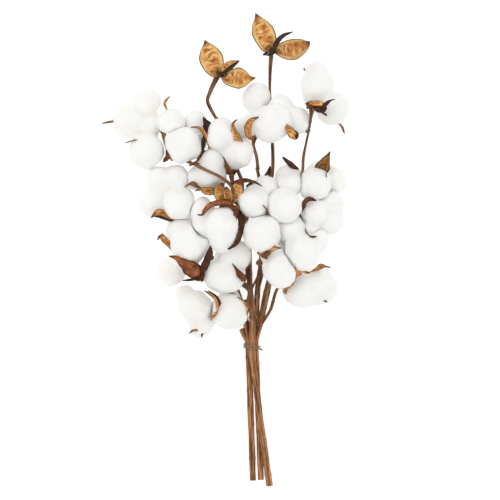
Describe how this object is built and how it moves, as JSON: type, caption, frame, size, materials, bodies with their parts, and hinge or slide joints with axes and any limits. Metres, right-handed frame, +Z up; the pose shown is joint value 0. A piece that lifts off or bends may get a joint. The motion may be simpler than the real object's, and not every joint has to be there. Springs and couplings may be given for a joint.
{
  "type": "cotton stem bunch",
  "caption": "Cut cotton stalks tied in a bunch and lying down, with fluffy white open bolls in brown burrs and empty seed pods at the top.",
  "frame": {"origin": "middle of the bounding box, on the surface that the bunch lies on", "axes": "+Y along the stalks from the cut ends to the seed pods, +X to the right seen from above, +Z up from the surface"},
  "size_m": [0.2498, 0.4744, 0.0808],
  "materials": {
    "bark": "dry fibrous bark",
    "burr": "dry leathery shell",
    "pod": "dry shell with a satin ribbed inside",
    "cotton": "soft fluffy fibre",
    "twine": "twisted twine"
  },
  "bodies": {
    "root": {"stalk_left": "bark", "stalk_front": "bark", "stalk_right": "bark", "boll_01_burr": "burr", "boll_02_burr": "burr", "boll_03_burr": "burr", "boll_04_burr": "burr", "boll_05_burr": "burr", "boll_06_burr": "burr", "boll_07_burr": "burr", "boll_08_burr": "burr", "boll_09_burr": "burr", "boll_10_burr": "burr", "boll_11_burr": "burr", "boll_12_burr": "burr", "boll_13_burr": "burr", "boll_14_burr": "burr", "boll_15_burr": "burr", "boll_16_burr": "burr", "boll_17_burr": "burr", "boll_18_burr": "burr", "boll_19_burr": "burr", "boll_20_burr": "burr", "pod_left": "pod", "pod_right": "pod", "pod_centre": "pod", "boll_01_cotton": "cotton", "boll_02_cotton": "cotton", "boll_03_cotton": "cotton", "boll_04_cotton": "cotton", "boll_05_cotton": "cotton", "boll_06_cotton": "cotton", "boll_07_cotton": "cotton", "boll_08_cotton": "cotton", "boll_09_cotton": "cotton", "boll_10_cotton": "cotton", "boll_11_cotton": "cotton", "boll_12_cotton": "cotton", "boll_13_cotton": "cotton", "boll_14_cotton": "cotton", "boll_15_cotton": "cotton", "boll_16_cotton": "cotton", "boll_17_cotton": "cotton", "boll_18_cotton": "cotton", "boll_19_cotton": "cotton", "boll_20_cotton": "cotton", "twine_tie": "twine"}
  },
  "joints": []
}
